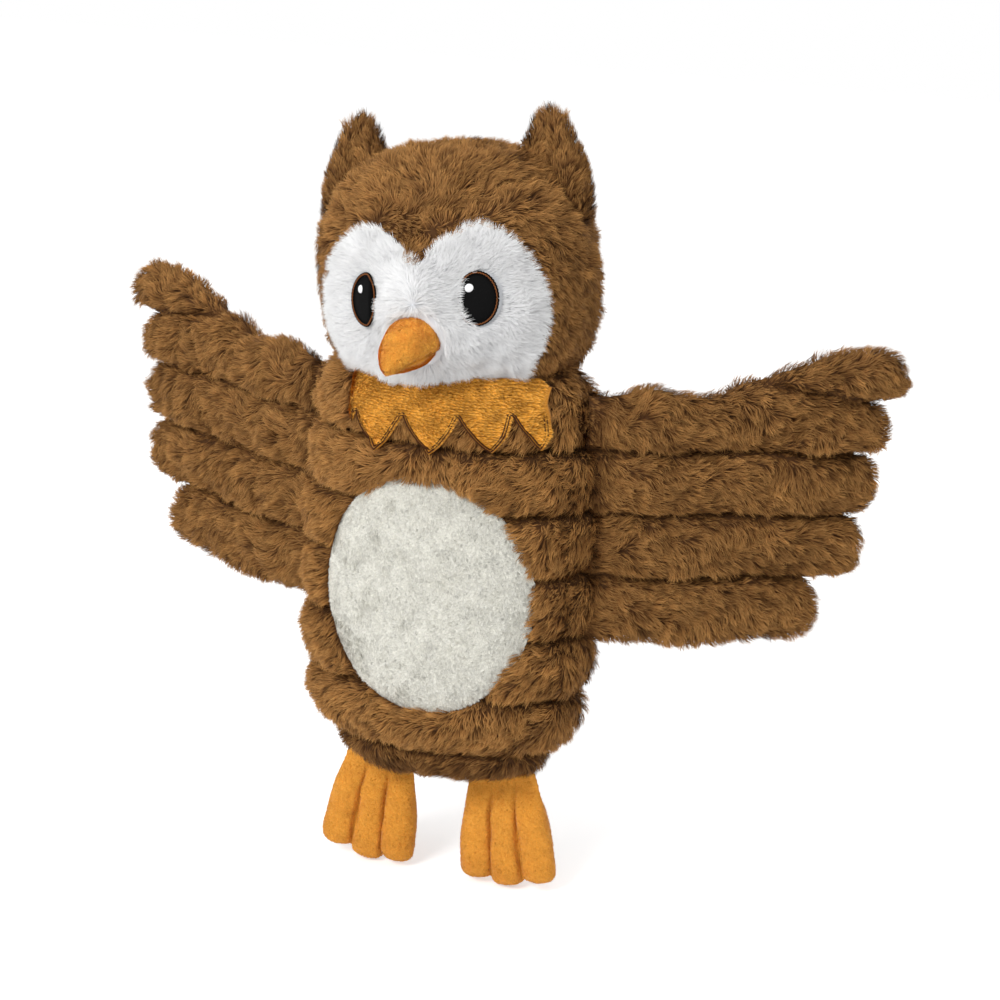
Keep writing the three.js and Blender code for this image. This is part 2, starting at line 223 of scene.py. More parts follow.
joint_places = {j["name"]: Vector(j["pos_m"]) for j in frame["joints"]}
neck = joint_places["head_turn"]
TORSO_PLACE = Matrix.Translation(neck) @ Matrix.Translation((0, 0, -NECK_HEIGHT * MM)) @ Matrix.Scale(MM, 4)
HEAD_PLACE = (
    TORSO_PLACE
    @ Matrix.Translation((0, 0, NECK_HEIGHT))
    @ Matrix.Rotation(-HEAD_NOD, 4, "X")
    @ Matrix.Rotation(-HEAD_LEAN, 4, "Y")
)
FLIP = Matrix.Diagonal((-1, 1, 1, 1))
WING_PLACE = (
    TORSO_PLACE
    @ Matrix.Translation((WING_SEAM_OUT, WING_SEAM_BACK, 0))
    @ Matrix.Rotation(WING_SWEEP, 4, "Z")
)
FOOT_PLACE = (
    TORSO_PLACE
    @ Matrix.Translation((FOOT_SPREAD, 0, -TORSO_BOTTOM))
    @ Matrix.Rotation(-FOOT_SPLAY, 4, "Y")
)


# Numbers

def moved(points, matrix):
    """Points under a matrix, as an array."""
    m = np.array(matrix)
    return points @ m[:3, :3].T + m[:3, 3]


def turned(vectors, matrix):
    """Directions under a matrix that may mirror and scale, as unit vectors."""
    return unit(vectors @ np.linalg.inv(np.array(matrix)[:3, :3]))


def unit(vectors):
    return vectors / np.maximum(np.linalg.norm(vectors, axis=-1, keepdims=True), 1e-12)


def smooth(share):
    t = np.clip(share, 0, 1)
    return t * t * (3 - 2 * t)


def mix(a, b, share):
    return a + (b - a) * share


def roundness(share, square):
    return np.maximum(0, 1 - np.abs(share) ** square) ** (1 / square)


def ripple(points, length, seed):
    """A smooth random field, about 1 high, whose waves are about length long."""
    rng = np.random.default_rng(seed)
    waves = unit(rng.normal(size=(14, 3))) * 2 * np.pi / (length * rng.uniform(0.7, 1.5, (14, 1)))
    return np.sin(points @ waves.T + rng.uniform(0, 2 * np.pi, 14)).sum(axis=1) / math.sqrt(7)


def lumps(points, seed, *waves):
    """An uneven surface from waves, which are pairs of a height and a length."""
    return sum(high * ripple(points, length, seed + k) for k, (high, length) in enumerate(waves))


def directions(points, *parts):
    """One direction for each point, from parts that are numbers or arrays."""
    return np.stack([part + 0 * points[:, 0] for part in parts], -1)


def paint(red, green, blue):
    """A colour from the 0 to 255 values that it shows on screen."""
    srgb = np.array([red, green, blue]) / 255
    linear = np.where(srgb <= 0.04045, srgb / 12.92, ((srgb + 0.055) / 1.055) ** 2.4)
    return (*(float(c) for c in linear), 1.0)


# Surfaces are pairs of an array of points and an array of triangles

def sheet_faces(rows, columns, closed):
    """The triangles of a grid of rows by columns points, closed round its columns or not."""
    r, c = np.meshgrid(np.arange(rows - 1), np.arange(columns if closed else columns - 1), indexing="ij")
    a = r * columns + c
    b = r * columns + (c + 1) % columns
    d, e = a + columns, b + columns
    return np.concatenate([
        np.stack([a, d, b], -1).reshape(-1, 3),
        np.stack([b, d, e], -1).reshape(-1, 3),
    ])


def ball(around, along, place):
    """A closed form whose unit points are moved by place(points), with its poles on Z."""
    turn, down = np.meshgrid(np.arange(around) / around, np.linspace(0, 1, along), indexing="xy")
    turn, down = turn.ravel() * 2 * np.pi, down.ravel() * np.pi
    points = np.stack([np.sin(down) * np.cos(turn), np.sin(down) * np.sin(turn), np.cos(down)], -1)
    return place(points), sheet_faces(along, around, True)


def normals_of(points, faces):
    corners = points[faces]
    flat = np.cross(corners[:, 1] - corners[:, 0], corners[:, 2] - corners[:, 0])
    normals = np.zeros_like(points)
    for k in range(3):
        np.add.at(normals, faces[:, k], flat)
    return unit(normals)


def part_of(surface, keep):
    """The faces whose middle keep() accepts, with only their points."""
    points, faces = surface
    faces = faces[keep(points[faces].mean(axis=1))]
    used, renamed = np.unique(faces, return_inverse=True)
    return points[used], renamed.reshape(faces.shape)


def make_mesh(name, points, faces, maps=None):
    mesh = bpy.data.meshes.new(name)
    mesh.vertices.add(len(points))
    mesh.vertices.foreach_set("co", np.ascontiguousarray(points, np.float32).ravel())
    mesh.loops.add(faces.size)
    mesh.loops.foreach_set("vertex_index", np.ascontiguousarray(faces, np.int32).ravel())
    mesh.polygons.add(len(faces))
    mesh.polygons.foreach_set("loop_start", np.arange(0, faces.size, faces.shape[1], dtype=np.int32))
    mesh.update(calc_edges=True)
    if maps is not None:
        layer = mesh.uv_layers.new(name=FUR_MAP)
        layer.data.foreach_set("uv", np.ascontiguousarray(maps[faces.ravel()], np.float32).ravel())
    mesh.shade_smooth()
    mesh.validate()
    return mesh


def placed(name, data):
    """An object in the scene that holds a mesh, a lamp or the camera."""
    thing = bpy.data.objects.new(name, data)
    bpy.context.scene.collection.objects.link(thing)
    return thing


def attach(piece, body):
    """A foot's pieces keep the place where they are made, and other pieces move with their body."""
    if body.startswith("foot"):
        seam = joint_places[body + "_swing"]
        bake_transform(piece)
    else:
        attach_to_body(piece, body)


def finished(name, mesh, material, body):
    """A piece of the owl from its mesh, with its finish and the body that it moves with."""
    piece = placed(name, mesh)
    mesh.materials.append(material)
    attach(piece, body)
    return piece


def facing_out(faces, place):
    """Faces turned round where a matrix mirrors them."""
    return faces[:, ::-1] if place.determinant() < 0 else faces


def make_piece(name, surface, place, material, body):
    """A piece of the owl from a surface in millimetres."""
    points, faces = surface
    mesh = make_mesh(name, moved(points, place), facing_out(faces, place))
    return finished(name, mesh, material, body)


def remeshed(surfaces, voxel):
    """Closed surfaces that overlap, as one outer surface."""
    points = np.concatenate([p for p, _ in surfaces])
    starts = np.cumsum([0] + [len(p) for p, _ in surfaces[:-1]])
    faces = np.concatenate([f + s for (_, f), s in zip(surfaces, starts)])
    holder = placed("remesh", make_mesh("remesh", points, faces))
    modifier = holder.modifiers.new("remesh", "REMESH")
    modifier.mode, modifier.voxel_size = "VOXEL", voxel
    smoother = holder.modifiers.new("smooth", "CORRECTIVE_SMOOTH")
    smoother.factor, smoother.iterations, smoother.use_only_smooth = 0.5, 2, True
    bpy.context.view_layer.update()
    evaluated = holder.evaluated_get(bpy.context.evaluated_depsgraph_get())
    mesh = evaluated.to_mesh()
    mesh.calc_loop_triangles()
    found = np.empty(len(mesh.vertices) * 3)
    mesh.vertices.foreach_get("co", found)
    triangles = np.empty(len(mesh.loop_triangles) * 3, np.int32)
    mesh.loop_triangles.foreach_get("vertices", triangles)
    evaluated.to_mesh_clear()
    bpy.data.objects.remove(holder)
    return found.reshape(-1, 3), triangles.reshape(-1, 3)


# Pile

def grow_pile(name, surface, place, material, body, slot, seed, density, comb, length=PILE_LENGTH,
              keep=None, lean=0.85, tuft=14, pull=0.42, wild=0.34, width=STRAND_WIDTH, shade=None,
              scatter=0.3, grain=0.11, arch=0.27):
    """Tapered strands that grow from a surface, lean the way that comb says and close into tufts.

    density is in strands to a square centimetre, and tuft is how many strands close together.
    comb(points, normals) gives directions, length(points) or a number gives lengths in millimetres,
    shade(points) gives a lightness from 0 to 1, scatter turns the tufts to or from the light,
    grain makes each tuft lighter or darker, and arch lifts the middle of each strand.
    """
    points, faces = surface
    rng = np.random.default_rng(seed)
    normals = normals_of(points, faces)
    corners = points[faces]
    areas = np.linalg.norm(np.cross(corners[:, 1] - corners[:, 0], corners[:, 2] - corners[:, 0]), axis=1) / 2
    count = int(areas.sum() / 100 * density)
    chosen = np.searchsorted(np.cumsum(areas), rng.uniform(0, areas.sum(), count))
    a, b = rng.uniform(size=(2, count))
    a, b = np.where(a + b > 1, 1 - a, a), np.where(a + b > 1, 1 - b, b)
    weights = np.stack([1 - a - b, a, b], -1)[:, :, None]
    roots = (points[faces[chosen]] * weights).sum(axis=1)
    normal = unit((normals[faces[chosen]] * weights).sum(axis=1))
    if keep is not None:
        kept = keep(roots)
        roots, normal = roots[kept], normal[kept]
    count = len(roots)

    way = comb(roots, normal)
    way = unit(way - (way * normal).sum(-1, keepdims=True) * normal)
    side = np.cross(normal, way)
    reach = (length(roots) if callable(length) else np.full(count, length)) * rng.uniform(0.7, 1.15, count)
    waves = ripple(roots, 13, seed + 1) + 0.8 * ripple(roots, 5, seed + 4)
    swerve = rng.normal(0, wild, count) + wild * waves
    swerve = swerve * np.minimum(1, reach / reach.mean()) ** 2
    heading = way * np.cos(swerve)[:, None] + side * np.sin(swerve)[:, None]
    tilt = np.clip(lean + rng.normal(0, 0.08, count) + 0.06 * ripple(roots, 7, seed + 2), 0.05, 0.97)
    rise = np.sqrt(1 - tilt ** 2)
    tips = roots + (normal * rise[:, None] + heading * tilt[:, None]) * reach[:, None]

    # Each strand's tip is drawn towards the tip of the tuft that its root is nearest to
    leaders = rng.choice(count, max(1, count // tuft), replace=False)
    tree = KDTree(len(leaders))
    for k, leader in enumerate(leaders):
        tree.insert(roots[leader], k)
    tree.balance()
    nearest = leaders[np.fromiter((tree.find(root)[1] for root in roots), np.int64, count)]
    drawn = (pull * rng.uniform(0.5, 1.2, count))[:, None]
    tips = tips + (tips[nearest] - tips) * drawn
    middles = mix(roots, tips, 0.4) + arch * normal * (reach * 0.55 * (0.4 + rise))[:, None]

    # A strand is a blade that faces outward, wide at its root and drawn to a point
    run = unit(tips - roots)
    across = unit(np.cross(normal + 0.3 * heading, run))
    facing = np.cross(run, across)
    roll = rng.normal(0, 0.25, count)[:, None]
    across = across * np.cos(roll) + facing * np.sin(roll)
    half = (width / 2 * rng.uniform(0.7, 1.3, count))[:, None]
    corners = np.stack([
        roots - across * half, roots + across * half,
        middles + across * half * 0.9, middles - across * half * 0.9,
        tips,
    ], 1)
    tuft_turn = scatter * rng.normal(size=(count, 3))[nearest]
    toward = unit(0.8 * normal + 0.3 * np.cross(run, across) + 0.1 * rng.normal(size=(count, 3)) + tuft_turn)
    lightness = rng.normal(0.5, 0.14, count) + 0.08 * ripple(roots, 7, seed + 3)
    lightness = lightness + grain * rng.normal(size=count)[nearest]
    if shade is not None:
        lightness = lightness + shade(roots) - 0.5
    bins = (np.clip(lightness, 0.02, 0.98) * SHADES).astype(int) + 0.5
    reach_map = np.array([[-0.35, 0.04], [0.35, 0.04], [0.35, 0.5], [-0.35, 0.5], [0, 0.97]])
    maps = np.stack([
        (bins[:, None] + reach_map[None, :, 0]) / SHADES,
        np.broadcast_to(reach_map[:, 1], (count, 5)),
    ], -1)
    blade = facing_out(np.array([[0, 2, 1], [0, 3, 2], [3, 4, 2]]), place)
    blades = (np.arange(count)[:, None, None] * 5 + blade).reshape(-1, 3)
    mesh = make_mesh(name, moved(corners.reshape(-1, 3), place), blades, maps.reshape(-1, 2))
    mesh.normals_split_custom_set_from_vertices(np.repeat(turned(toward, place), 5, axis=0).tolist())
    finished(name, mesh, material, body)


def make_furred(name, solids, surface, place, backing, strands, body, slot, fill, kind="pile", **growth):
    """A padded cover that stands for solids of the part, and the pile or nap that grows on it."""
    cover = make_piece(f"{name}_cover", surface, place, backing, body)
    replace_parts(cover, *solids)
    grow_pile(f"{name}_{kind}", surface, place, strands, body, slot, **growth)


# Finishes

class Wire:
    """One value in a finish. Sums and products of wires add the nodes that work them out."""

    def __init__(self, nodes, socket):
        self.nodes = nodes
        self.socket = socket

    def maths(self, operation, *values):
        return self.nodes.node("Math", {"operation": operation}, *values)

    def __add__(self, other):
        return self.maths("ADD", self, other)

    def __mul__(self, other):
        return self.maths("MULTIPLY", self, other)

    __radd__ = __add__
    __rmul__ = __mul__


class Nodes:
    """The nodes of a material or of the world."""

    def __init__(self, owner):
        owner.use_nodes = True
        self.tree = owner.node_tree

    def set(self, socket, value):
        """A socket gets a wire's link or a plain value."""
        if isinstance(value, Wire):
            self.tree.links.new(value.socket, socket)
        else:
            socket.default_value = value

    def node(self, kind, settings, *values, output=0, **named):
        """A node of a kind: its settings first, then the values or wires of its sockets."""
        made = self.tree.nodes.new("ShaderNode" + kind)
        for key, value in settings.items():
            if key == "stops":
                ramp = made.color_ramp
                while len(ramp.elements) < len(value):
                    ramp.elements.new(0.5)
                for element, (place, colour) in zip(ramp.elements, value):
                    element.position, element.color = place, colour
            else:
                setattr(made, key, value)
        for key, value in [*enumerate(values), *named.items()]:
            self.set(made.inputs[key], value)
        return Wire(self, made.outputs[output])

    def outputs(self, kind, *names):
        """The wires of a node's named outputs."""
        found = self.node(kind, {}).socket.node.outputs
        return [Wire(self, found[name]) for name in names]

    def blend(self, how, share, first, second):
        """Two colours mixed as how says, by a share."""
        mixed = self.node("Mix", {"data_type": "RGBA", "blend_type": how}, share, output=2)
        for key, value in ((6, first), (7, second)):
            self.set(mixed.socket.node.inputs[key], value)
        return mixed


class Finish(Nodes):
    """A material with one principled shader, and the nodes that paint it."""

    def __init__(self, name, **constants):
        self.material = bpy.data.materials.new(name)
        super().__init__(self.material)
        self.shader = self.tree.nodes["Principled BSDF"]
        for key, value in constants.items():
            self.feed(key.replace("_", " ").title().replace("Ior", "IOR"), value)

    def feed(self, socket, value):
        self.set(self.shader.inputs[socket], value)

    def bump(self, height, strength, distance):
        self.feed("Normal", self.node("Bump", {}, Strength=strength, Distance=distance, Height=height))


def pile_finish(name, root, body, tip, dark, light):
    """Long pile: darker at the root, a painted shade deep in the pile, lighter at the tip, a painted
    highlight, and each strand a little darker or lighter than the next.
    """
    finish = Finish(name, Roughness=0.7, Specular_IOR_Level=0.12)
    place = finish.node("UVMap", {"uv_map": FUR_MAP})
    across = finish.node("SeparateXYZ", {}, place)
    along = Wire(finish, across.socket.node.outputs[1])
    # Along each strand: a painted shade at the root and a painted highlight at the tip
    strand = finish.node("ValToRGB", {"stops": [(0.0, root), (0.55, body), (1.0, tip)]}, along)
    tint = finish.node("ValToRGB", {"stops": [(0.0, dark), (0.5, (1, 1, 1, 1)), (1.0, light)]}, across)
    finish.feed("Base Color", finish.blend("MULTIPLY", 1.0, strand, tint))
    return finish.material


def backing_finish(name, dark, light):
    """The knitted backing between the roots of the pile."""
    finish = Finish(name, Roughness=0.95, Specular_IOR_Level=0.1)
    place = finish.node("TexCoord", {}, output=3)
    mottle = finish.node("TexNoise", {}, Vector=place, Scale=420.0, Detail=3.0)
    finish.feed("Base Color", finish.blend("MIX", mottle, dark, light))
    finish.bump(mottle, 0.6, 0.0006)
    return finish.material


def nap_finish(name, dark, middle, light, patchiness=0.3, streak_scale=(260.0, 260.0, 900.0), sheen=0.35):
    """Short brushed nap: fine fibres, with soft patches where it lies the other way."""
    finish = Finish(name, Roughness=0.8, Specular_IOR_Level=0.2, Sheen_Weight=sheen, Sheen_Roughness=0.45)
    place = finish.node("TexCoord", {}, output=3)
    patches = finish.node("TexNoise", {}, Vector=place, Scale=55.0, Detail=4.0, Roughness=0.62)
    stretched = finish.node("Mapping", {}, place, Scale=streak_scale)
    fibres = finish.node("TexNoise", {}, Vector=stretched, Scale=4.0, Detail=3.0, Roughness=0.7)
    both = patchiness * patches + (1 - patchiness) * fibres
    stops = [(0.3, dark), (0.5, middle), (0.72, light)]
    finish.feed("Base Color", finish.node("ValToRGB", {"stops": stops}, both))
    finish.bump(fibres, 0.5, 0.0004)
    return finish.material


def thread_finish(name, colour, sheen, roughness=0.4):
    """Satin stitches: close parallel threads, with a painted sheen in lighter bands along them."""
    finish = Finish(name, Roughness=roughness, Specular_IOR_Level=0.1)
    place = finish.node("TexCoord", {}, output=3)
    threads = finish.node("TexWave", {"bands_direction": "Z"}, Vector=place, Scale=900.0, Distortion=1.5)
    # The sheen colour is a painted sheen along the threads
    finish.feed("Base Color", finish.blend("MIX", threads, colour, sheen))
    finish.bump(threads, 0.5, 0.0003)
    return finish.material


BROWN_PILE = pile_finish(
    "brown long pile", paint(74, 45, 20), paint(143, 99, 54), paint(186, 139, 81),
    (0.42, 0.37, 0.32, 1), (1.4, 1.38, 1.3, 1),
)
WHITE_PILE = pile_finish(
    "white face pile", paint(212, 213, 215), paint(230, 230, 230), paint(240, 240, 239),
    (0.93, 0.93, 0.94, 1), (1.03, 1.03, 1.03, 1),
)
# The knitted backing's brown, made darker than the pile as a painted shade for the depth between its roots
SHADED_BROWN_BACKING = backing_finish("brown backing", paint(58, 36, 20), paint(96, 66, 40))
WHITE_BACKING = backing_finish("white backing", paint(200, 202, 206), paint(220, 222, 225))
ORANGE_FUZZ = pile_finish(
    "orange nap fibres", paint(221, 143, 47), paint(235, 162, 61), paint(247, 190, 96),
    (0.86, 0.84, 0.8, 1), (1.18, 1.18, 1.15, 1),
)
BEAK_FUZZ = pile_finish(
    "beak nap fibres", paint(226, 152, 50), paint(240, 172, 66), paint(250, 198, 104),
    (0.8, 0.76, 0.7, 1), (1.12, 1.12, 1.1, 1),
)
COLLAR_FUZZ = pile_finish(
    "collar nap fibres", paint(166, 100, 24), paint(208, 140, 44), paint(240, 184, 92),
    (0.55, 0.5, 0.42, 1), (1.4, 1.4, 1.35, 1),
)
CREAM_FUZZ = pile_finish(
    "cream nap fibres", paint(205, 203, 192), paint(225, 223, 212), paint(241, 240, 233),
    (0.8, 0.8, 0.8, 1), (1.1, 1.1, 1.1, 1),
)
CREAM_NAP = nap_finish("cream nap", paint(198, 196, 185), paint(212, 210, 199), paint(224, 222, 213), 0.1)
ORANGE_NAP = nap_finish("orange nap", paint(221, 145, 46), paint(231, 157, 56), paint(239, 171, 74))
COLLAR_NAP = nap_finish(
    "collar nap", paint(170, 104, 28), paint(200, 132, 42), paint(226, 162, 72), 0.2, (160, 160, 1500), 0.06,
)
BLACK_THREAD = thread_finish("black stitching", paint(3, 3, 3), paint(12, 12, 12), 0.8)
RIM_THREAD = thread_finish("rim stitching", paint(92, 52, 26), paint(142, 86, 46), 0.6)
BROWN_THREAD = thread_finish("brown stitching", paint(52, 28, 14), paint(88, 50, 26), 0.6)
WHITE_THREAD = thread_finish("white stitching", paint(236, 236, 238), paint(250, 250, 250))


# Torso

def torso_at(turn, z, grow=0.0, puff=TORSO_PUFF, side_swell=0.7, groove=0.0, side_tuck=0.0, fullness=0.7):
    """Points of the torso at a turn round it, 0 to the owl's left and a quarter to its back, and a height."""
    levels = np.array([TORSO_CROWN + grow, *SEAMS, -TORSO_BOTTOM - grow])
    channel = np.clip(np.searchsorted(-levels, -z, side="right") - 1, 0, len(levels) - 2)
    share = (levels[channel] - z) / (levels[channel] - levels[channel + 1])
    ux, uy = np.cos(turn), np.sin(turn)
    off_middle = z + TORSO_WAIST
    width = mix(CHEST_HALF_WIDTH, HIP_HALF_WIDTH, (FIRST_SEAM - z) / (FIRST_SEAM + TORSO_BOTTOM))
    closing = np.where(
        off_middle > 0,
        roundness(off_middle / (TORSO_CROWN + TORSO_WAIST + grow), 5),
        roundness(off_middle / (TORSO_BOTTOM - TORSO_WAIST + grow), 3),
    )
    swell = puff * mix(side_swell, 1, np.abs(uy)) * np.sin(np.pi * np.clip(share, 0, 1)) ** fullness
    near_seam = np.abs(z[..., None] - np.array(SEAMS)).min(axis=-1)
    swell = swell - groove * np.exp(-((near_seam / 1.7) ** 2)) - side_tuck * (1 - np.abs(uy))
    return np.stack([
        ux * (width + grow + swell) * closing,
        uy * (TORSO_HALF_DEPTH + grow + swell) * closing,
        z,
    ], -1)


def torso_front_at(x, z, grow=0.0, puff=TORSO_PUFF):
    """Points of the torso's front at given x and z."""
    turn = -np.pi / 2 * np.ones_like(x)
    for _ in range(6):
        off = torso_at(turn, z, grow, puff)
        wide = np.abs(off[..., 0]) / np.maximum(np.abs(np.cos(turn)), 1e-6)
        wide = np.where(np.abs(np.cos(turn)) < 1e-3, CHEST_HALF_WIDTH, np.maximum(wide, 1e-6))
        turn = -np.arccos(np.clip(x / wide, -1, 1))
    return torso_at(turn, z, grow, puff)


def torso_skin():
    top, bottom = TORSO_CROWN - PILE_DEPTH, TORSO_BOTTOM - PILE_DEPTH
    heights = np.concatenate([
        np.linspace(top - 0.01, FIRST_SEAM, 24, endpoint=False),
        np.linspace(FIRST_SEAM, SEAMS[-1], 150, endpoint=False),
        SEAMS[-1] - (bottom + SEAMS[-1] - 0.01) * np.sin(np.linspace(0, np.pi / 2, 20)),
    ])
    turn, z = np.meshgrid(np.arange(180) / 180 * 2 * np.pi, heights, indexing="xy")
    points = torso_at(
        turn.ravel(), z.ravel(), -PILE_DEPTH, TORSO_PUFF + 1.0, groove=2.8, side_tuck=2.5, fullness=0.55,
    )
    points[:, :2] *= 1 + (lumps(points, 5, (0.8, 20), (0.35, 8)) * 0.016)[:, None]
    points[:, 2] += 0.8 * ripple(points * (1, 1, 0.3), 40, 7)
    # The channels flatten towards the belly patch and go under its edge
    front = points[:, 1] < 0
    flat = torso_front_at(points[front, 0], points[front, 2], -PILE_DEPTH, 0.0)
    points[front, 1] = mix(flat[:, 1], points[front, 1], smooth((patch_reach(points[front]) - 0.97) / 0.16))
    return points, sheet_faces(len(heights), 180, True)


def patch_reach(points):
    """How far out a point of the torso's front is in the belly patch: 1 on its edge."""
    return np.hypot(points[:, 0] / PATCH_HALF_WIDTH, (points[:, 2] + PATCH_DROP) / PATCH_HALF_HEIGHT)


def torso_comb(points, normals):
    """Pile of the torso runs mostly along its channels, and a little down."""
    along = np.cross(normals, (0, 0, 1.0)) * (0.9 + 0.6 * ripple(points, 40, 11))[:, None]
    off = torso_seam_off(points)
    down = 0.75 * smooth(np.abs(off) / 5) - parting(off)
    return along - down[:, None] * (0, 0, 1.0)


def nearest_off(offsets):
    """The offset nearest to zero in each row."""
    return np.take_along_axis(offsets, np.abs(offsets).argmin(axis=1)[:, None], axis=1)[:, 0]


def torso_seam_off(points):
    """How far above the nearest sewn seam a point of the torso is."""
    return nearest_off(points[:, 2][:, None] - np.array(SEAMS))


def parting(off):
    """How strongly pile parts at a seam, by how far above it the pile is."""
    return 0.9 * np.sign(off) * (1 - smooth(np.abs(off) / 4.5))


# Pile darkens towards a seam: a painted shade in the crease
def seam_shade(off, lightness=0.5):
    return mix(0.06, lightness, smooth(np.abs(off) / 3))


def torso_shade(points):
    """Pile of the torso is darker at its seams, a painted shade in their creases, and below its hem seam, a
    painted shade where the torso turns under.
    """
    return seam_shade(torso_seam_off(points), mix(0.72, 0.12, smooth((SEAMS[-1] - points[:, 2]) / 4)))


def seam_length(off):
    return PILE_LENGTH * mix(0.3, 1.0, smooth(np.abs(off) / 4.5))


def make_torso():
    skin = torso_skin()
    on_patch = lambda p: (patch_reach(p) < 0.93) & (p[:, 1] < 0)
    front = part_of(skin, lambda p: (p[:, 1] < 0) & ~on_patch(p))
    back = part_of(skin, lambda p: p[:, 1] >= 0)
    below_head = lambda p: p[:, 2] < NECK_HEIGHT + 2 + 4.5 * smooth((np.abs(p[:, 0]) - 32) / 6)
    off_patch = lambda p: (patch_reach(p) >= 1.005) | (p[:, 1] >= 0)
    for name, solids, surface, seed, density in (
        ("torso_front", ["torso_front", "torso_filling"], front, 20, 340),
        ("torso_back", ["torso_back"], back, 30, 180),
    ):
        make_furred(name, solids, surface, TORSO_PLACE, SHADED_BROWN_BACKING, BROWN_PILE, "torso", "brown_pile", 0.7,
                    seed=seed, density=density, comb=torso_comb, shade=torso_shade,
                    length=lambda p: seam_length(torso_seam_off(p)),
                    keep=lambda p: below_head(p) & off_patch(p) & ~under_collar(p))


def make_patch():
    u, v = np.meshgrid(np.linspace(-1, 1, 100), np.linspace(-1, 1, 100), indexing="xy")
    u, v = u.ravel(), v.ravel()
    across, up = u * np.sqrt(1 - v * v / 2), v * np.sqrt(1 - u * u / 2)
    reach = np.hypot(across, up)
    x, z = PATCH_HALF_WIDTH * 1.01 * across, PATCH_HALF_HEIGHT * 1.01 * up - PATCH_DROP
    crown = PATCH_CROWN * (1 - reach ** 6) - PATCH_SINK
    points = torso_front_at(x, z, 0.0, 0.0)
    points[:, 1] -= crown + lumps(points, 41, (0.25, 26), (0.08, 9))
    surface = points, sheet_faces(100, 100, False)[:, ::-1]
    patch = make_piece("belly_patch_panel", surface, TORSO_PLACE, CREAM_NAP, "torso")
    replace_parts(patch, "belly_patch")
    comb = lambda p, n: directions(p, 0.5 * ripple(p, 18, 43), 0, -1 + 0.6 * ripple(p, 13, 44))
    grow_pile("belly_patch_nap", surface, TORSO_PLACE, CREAM_FUZZ, "torso", "cream_nap", 45, 1080, comb,
              length=1.4 * NAP_LENGTH, lean=0.95, tuft=5, pull=0.35, wild=0.7, scatter=0.28, grain=0.2,
              arch=0.0)


# Collar

def collar_edge(x):
    """The height of the collar's lower edge at x, with leaf-like points."""
    turn = np.arcsin(np.clip((x - COLLAR_ASIDE) / COLLAR_RADIUS, -1, 1))
    steps = turn / COLLAR_POINT_ANGLE + COLLAR_POINTS / 2
    share = np.abs((steps % 1) - 0.5) * 2
    return NECK_HEIGHT - COLLAR_BAND + COLLAR_TILT * x - COLLAR_POINT * (1 - share) * (1 + 0.5 * share)


def collar_top(x):
    """The height of the collar's upper edge at x, which runs down to the collar's ends."""
    return NECK_HEIGHT + 4 - COLLAR_SLOPE * smooth((np.abs(x - COLLAR_ASIDE) - 36) / 7)


def collar_half():
    return COLLAR_RADIUS * math.sin(COLLAR_POINTS / 2 * COLLAR_POINT_ANGLE)


def collar_narrowing(z):
    """How much narrower the collar is at a height than at its points."""
    return 1 - COLLAR_TAPER * np.clip((z - NECK_HEIGHT + COLLAR_BAND + 4) / COLLAR_BAND, 0, 1)


def collar_inside(points):
    """How far inside the collar's lower edge and ends a point of the chest is."""
    x = (points[:, 0] - COLLAR_ASIDE) / collar_narrowing(points[:, 2])
    return np.minimum(points[:, 2] - collar_edge(x + COLLAR_ASIDE), collar_half() - np.abs(x))


def under_collar(points):
    below = points[:, 2] < collar_top(points[:, 0]) - 2
    return below & (collar_inside(points) > 2.5) & (points[:, 1] < 0) & (points[:, 0] > COLLAR_HIDDEN - 3)


def collar_point(x, z, lift):
    """A point of the collar, which ripples on the chest and has one end under the shoulder's pile."""
    points = torso_front_at(x, z, 0.3, TORSO_PUFF)
    points[..., 1] -= lift + 0.4 * ripple(np.stack([x, x * 0, z * 0.5], -1), 18, 51)
    points[..., 1] += COLLAR_TUCK * smooth((COLLAR_HIDDEN - x) / 7)
    return points


